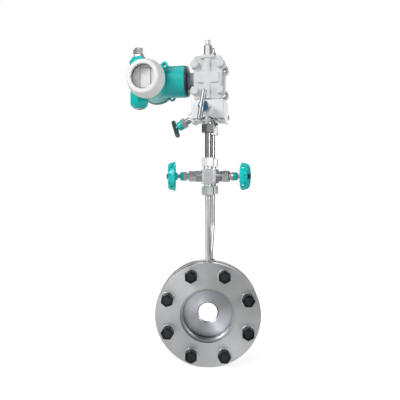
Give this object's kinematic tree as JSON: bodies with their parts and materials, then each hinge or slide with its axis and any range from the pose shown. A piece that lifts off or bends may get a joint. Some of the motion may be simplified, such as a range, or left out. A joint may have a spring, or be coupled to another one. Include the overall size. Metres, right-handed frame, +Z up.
{
  "type": "orifice plate flow meter",
  "caption": "Orifice plate between pipe flanges, with impulse tubes, needle valves, a three-valve manifold and a differential pressure transmitter on top.",
  "frame": {"origin": "centre of the front pipe seat's mouth, on the pipe axis", "axes": "+Y along the pipe, from the front flange to the rear one; +Z up along the impulse lines; +X to the viewer's right"},
  "size_m": [0.2748, 0.1987, 0.6685],
  "materials": {
    "flange_steel": "turned",
    "plate_steel": "ground",
    "gasket": "plain",
    "black_steel": "blackened",
    "zinc_steel": "satin",
    "tube_steel": "polished",
    "fitting_steel": "satin",
    "dark_fitting": "dark satin",
    "valve_steel": "satin",
    "gland_teal": "gloss",
    "wheel_teal": "gloss",
    "stem_steel": "turned",
    "handle_chrome": "polished",
    "packing": "plain",
    "manifold_paint": "satin",
    "cell_paint": "satin",
    "seal_rubber": "plain",
    "neck_black": "satin",
    "housing_green": "satin",
    "cover_cream": "satin",
    "rear_cover_green": "satin",
    "window": "clear",
    "display": "matte",
    "gland_brass": "nickel"
  },
  "bodies": {
    "meter": {"blind_plug": "stem_steel", "cable_gland": "gland_brass", "capsule_body": "cell_paint", "cell_bolts": "zinc_steel", "cell_nuts": "zinc_steel", "cell_seals": "seal_rubber", "display_panel": "display", "flange_gaskets": "gasket", "flange_nuts": "black_steel", "flange_studs": "black_steel", "flange_washers": "zinc_steel", "front_flange": "flange_steel", "front_lower_tube": "tube_steel", "front_process_flange": "cell_paint", "front_upper_tube": "tube_steel", "front_valve_body": "valve_steel", "front_valve_bonnet": "valve_steel", "gland_cap_nut": "gland_brass", "housing": "housing_green", "line_union_nuts": "fitting_steel", "manifold_block": "manifold_paint", "manifold_bolts": "zinc_steel", "manifold_bonnets": "fitting_steel", "manifold_gland_nuts": "gland_teal", "manifold_nipples": "fitting_steel", "manifold_seals": "seal_rubber", "manifold_union_nuts": "dark_fitting", "neck_ring": "neck_black", "orifice_plate": "plate_steel", "rear_flange": "flange_steel", "rear_lower_tube": "tube_steel", "rear_process_flange": "cell_paint", "rear_upper_tube": "tube_steel", "rear_valve_body": "valve_steel", "rear_valve_bonnet": "valve_steel", "sensor_sleeve": "housing_green", "stem_packings": "packing", "union_ferrules": "fitting_steel", "valve_gland_nuts": "gland_teal", "vent_bodies": "fitting_steel"},
    "front_stem": {"front_valve_stem": "stem_steel"},
    "front_wheel": {"front_handwheel": "wheel_teal", "front_wheel_nut": "stem_steel"},
    "rear_stem": {"rear_valve_stem": "stem_steel"},
    "rear_wheel": {"rear_handwheel": "wheel_teal", "rear_wheel_nut": "stem_steel"},
    "front_vent": {"front_vent_screw": "zinc_steel"},
    "rear_vent": {"rear_vent_screw": "zinc_steel"},
    "front_glass": {"window_glass": "window", "glass_ring": "stem_steel"},
    "front_cover_shell": {"front_cover": "cover_cream", "front_cover_seal": "seal_rubber"},
    "rear_seal": {"rear_cover_seal": "seal_rubber"},
    "rear_cover_shell": {"rear_cover": "rear_cover_green"},
    "front_spindle_body": {"front_spindle": "stem_steel"},
    "front_handle": {"front_t_handle": "handle_chrome"},
    "rear_spindle_body": {"rear_spindle": "stem_steel"},
    "rear_handle": {"rear_t_handle": "handle_chrome"},
    "side_spindle_body": {"side_spindle": "stem_steel"},
    "side_handle": {"side_t_handle": "handle_chrome"}
  },
  "joints": [
    {"name": "front_valve_advance", "type": "slide", "parent": "meter", "child": "front_stem", "axis": [-0.9986, -0.0523, 0], "range_m": [0, 0.003]},
    {"name": "front_valve_turn", "type": "hinge", "parent": "front_stem", "child": "front_wheel", "pos_m": [-0.00002, -0.00317, 0.288], "axis": [-0.9986, -0.0523, 0], "range_deg": [0, 1080]},
    {"name": "rear_valve_advance", "type": "slide", "parent": "meter", "child": "rear_stem", "axis": [0.9613, -0.2756, 0], "range_m": [0, 0.003]},
    {"name": "rear_valve_turn", "type": "hinge", "parent": "rear_stem", "child": "rear_wheel", "pos_m": [0.00842, 0.05017, 0.288], "axis": [0.9613, -0.2756, 0], "range_deg": [0, 1080]},
    {"name": "front_manifold_valve_advance", "type": "slide", "parent": "meter", "child": "front_spindle_body", "axis": [-0.1564, -0.9877, 0], "range_m": [0, 0.002]},
    {"name": "front_manifold_valve_turn", "type": "hinge", "parent": "front_spindle_body", "child": "front_handle", "pos_m": [-0.00143, -0.01206, 0.421], "axis": [-0.1564, -0.9877, 0], "range_deg": [0, 720]},
    {"name": "rear_manifold_valve_advance", "type": "slide", "parent": "meter", "child": "rear_spindle_body", "axis": [0.1564, 0.9877, 0], "range_m": [0, 0.002]},
    {"name": "rear_manifold_valve_turn", "type": "hinge", "parent": "rear_spindle_body", "child": "rear_handle", "pos_m": [0.00983, 0.05906, 0.421], "axis": [0.1564, 0.9877, 0], "range_deg": [0, 720]},
    {"name": "side_manifold_valve_advance", "type": "slide", "parent": "meter", "child": "side_spindle_body", "axis": [-0.8554, 0.1355, -0.5], "range_m": [0, 0.002]},
    {"name": "side_manifold_valve_turn", "type": "hinge", "parent": "side_spindle_body", "child": "side_handle", "pos_m": [0.0042, 0.0235, 0.43], "axis": [-0.8554, 0.1355, -0.5], "range_deg": [0, 720]},
    {"name": "front_vent_turn", "type": "hinge", "parent": "meter", "child": "front_vent", "pos_m": [-0.00002, -0.00317, 0.5275], "axis": [0, 0, 1], "range_deg": [0, 360]},
    {"name": "rear_vent_turn", "type": "hinge", "parent": "meter", "child": "rear_vent", "pos_m": [0.00842, 0.05017, 0.5275], "axis": [0, 0, 1], "range_deg": [0, 360]},
    {"name": "front_cover_advance", "type": "slide", "parent": "meter", "child": "front_glass", "axis": [-0.1564, -0.9877, 0], "range_m": [0, 0.009]},
    {"name": "front_cover_turn", "type": "hinge", "parent": "front_glass", "child": "front_cover_shell", "pos_m": [-0.11778, 0.04282, 0.4847], "axis": [-0.1564, -0.9877, 0], "range_deg": [0, 2160]},
    {"name": "rear_cover_advance", "type": "slide", "parent": "meter", "child": "rear_seal", "axis": [0.1564, 0.9877, 0], "range_m": [0, 0.009]},
    {"name": "rear_cover_turn", "type": "hinge", "parent": "rear_seal", "child": "rear_cover_shell", "pos_m": [-0.11778, 0.04282, 0.4847], "axis": [0.1564, 0.9877, 0], "range_deg": [0, 2160]}
  ],
  "couplings": [
    {"joint": "front_valve_advance", "follows": "front_valve_turn", "m_per_rad": 0.00015915},
    {"joint": "rear_valve_advance", "follows": "rear_valve_turn", "m_per_rad": 0.00015915},
    {"joint": "front_manifold_valve_advance", "follows": "front_manifold_valve_turn", "m_per_rad": 0.00015915},
    {"joint": "rear_manifold_valve_advance", "follows": "rear_manifold_valve_turn", "m_per_rad": 0.00015915},
    {"joint": "side_manifold_valve_advance", "follows": "side_manifold_valve_turn", "m_per_rad": 0.00015915},
    {"joint": "front_cover_advance", "follows": "front_cover_turn", "m_per_rad": 0.00023873},
    {"joint": "rear_cover_advance", "follows": "rear_cover_turn", "m_per_rad": 0.00023873}
  ]
}
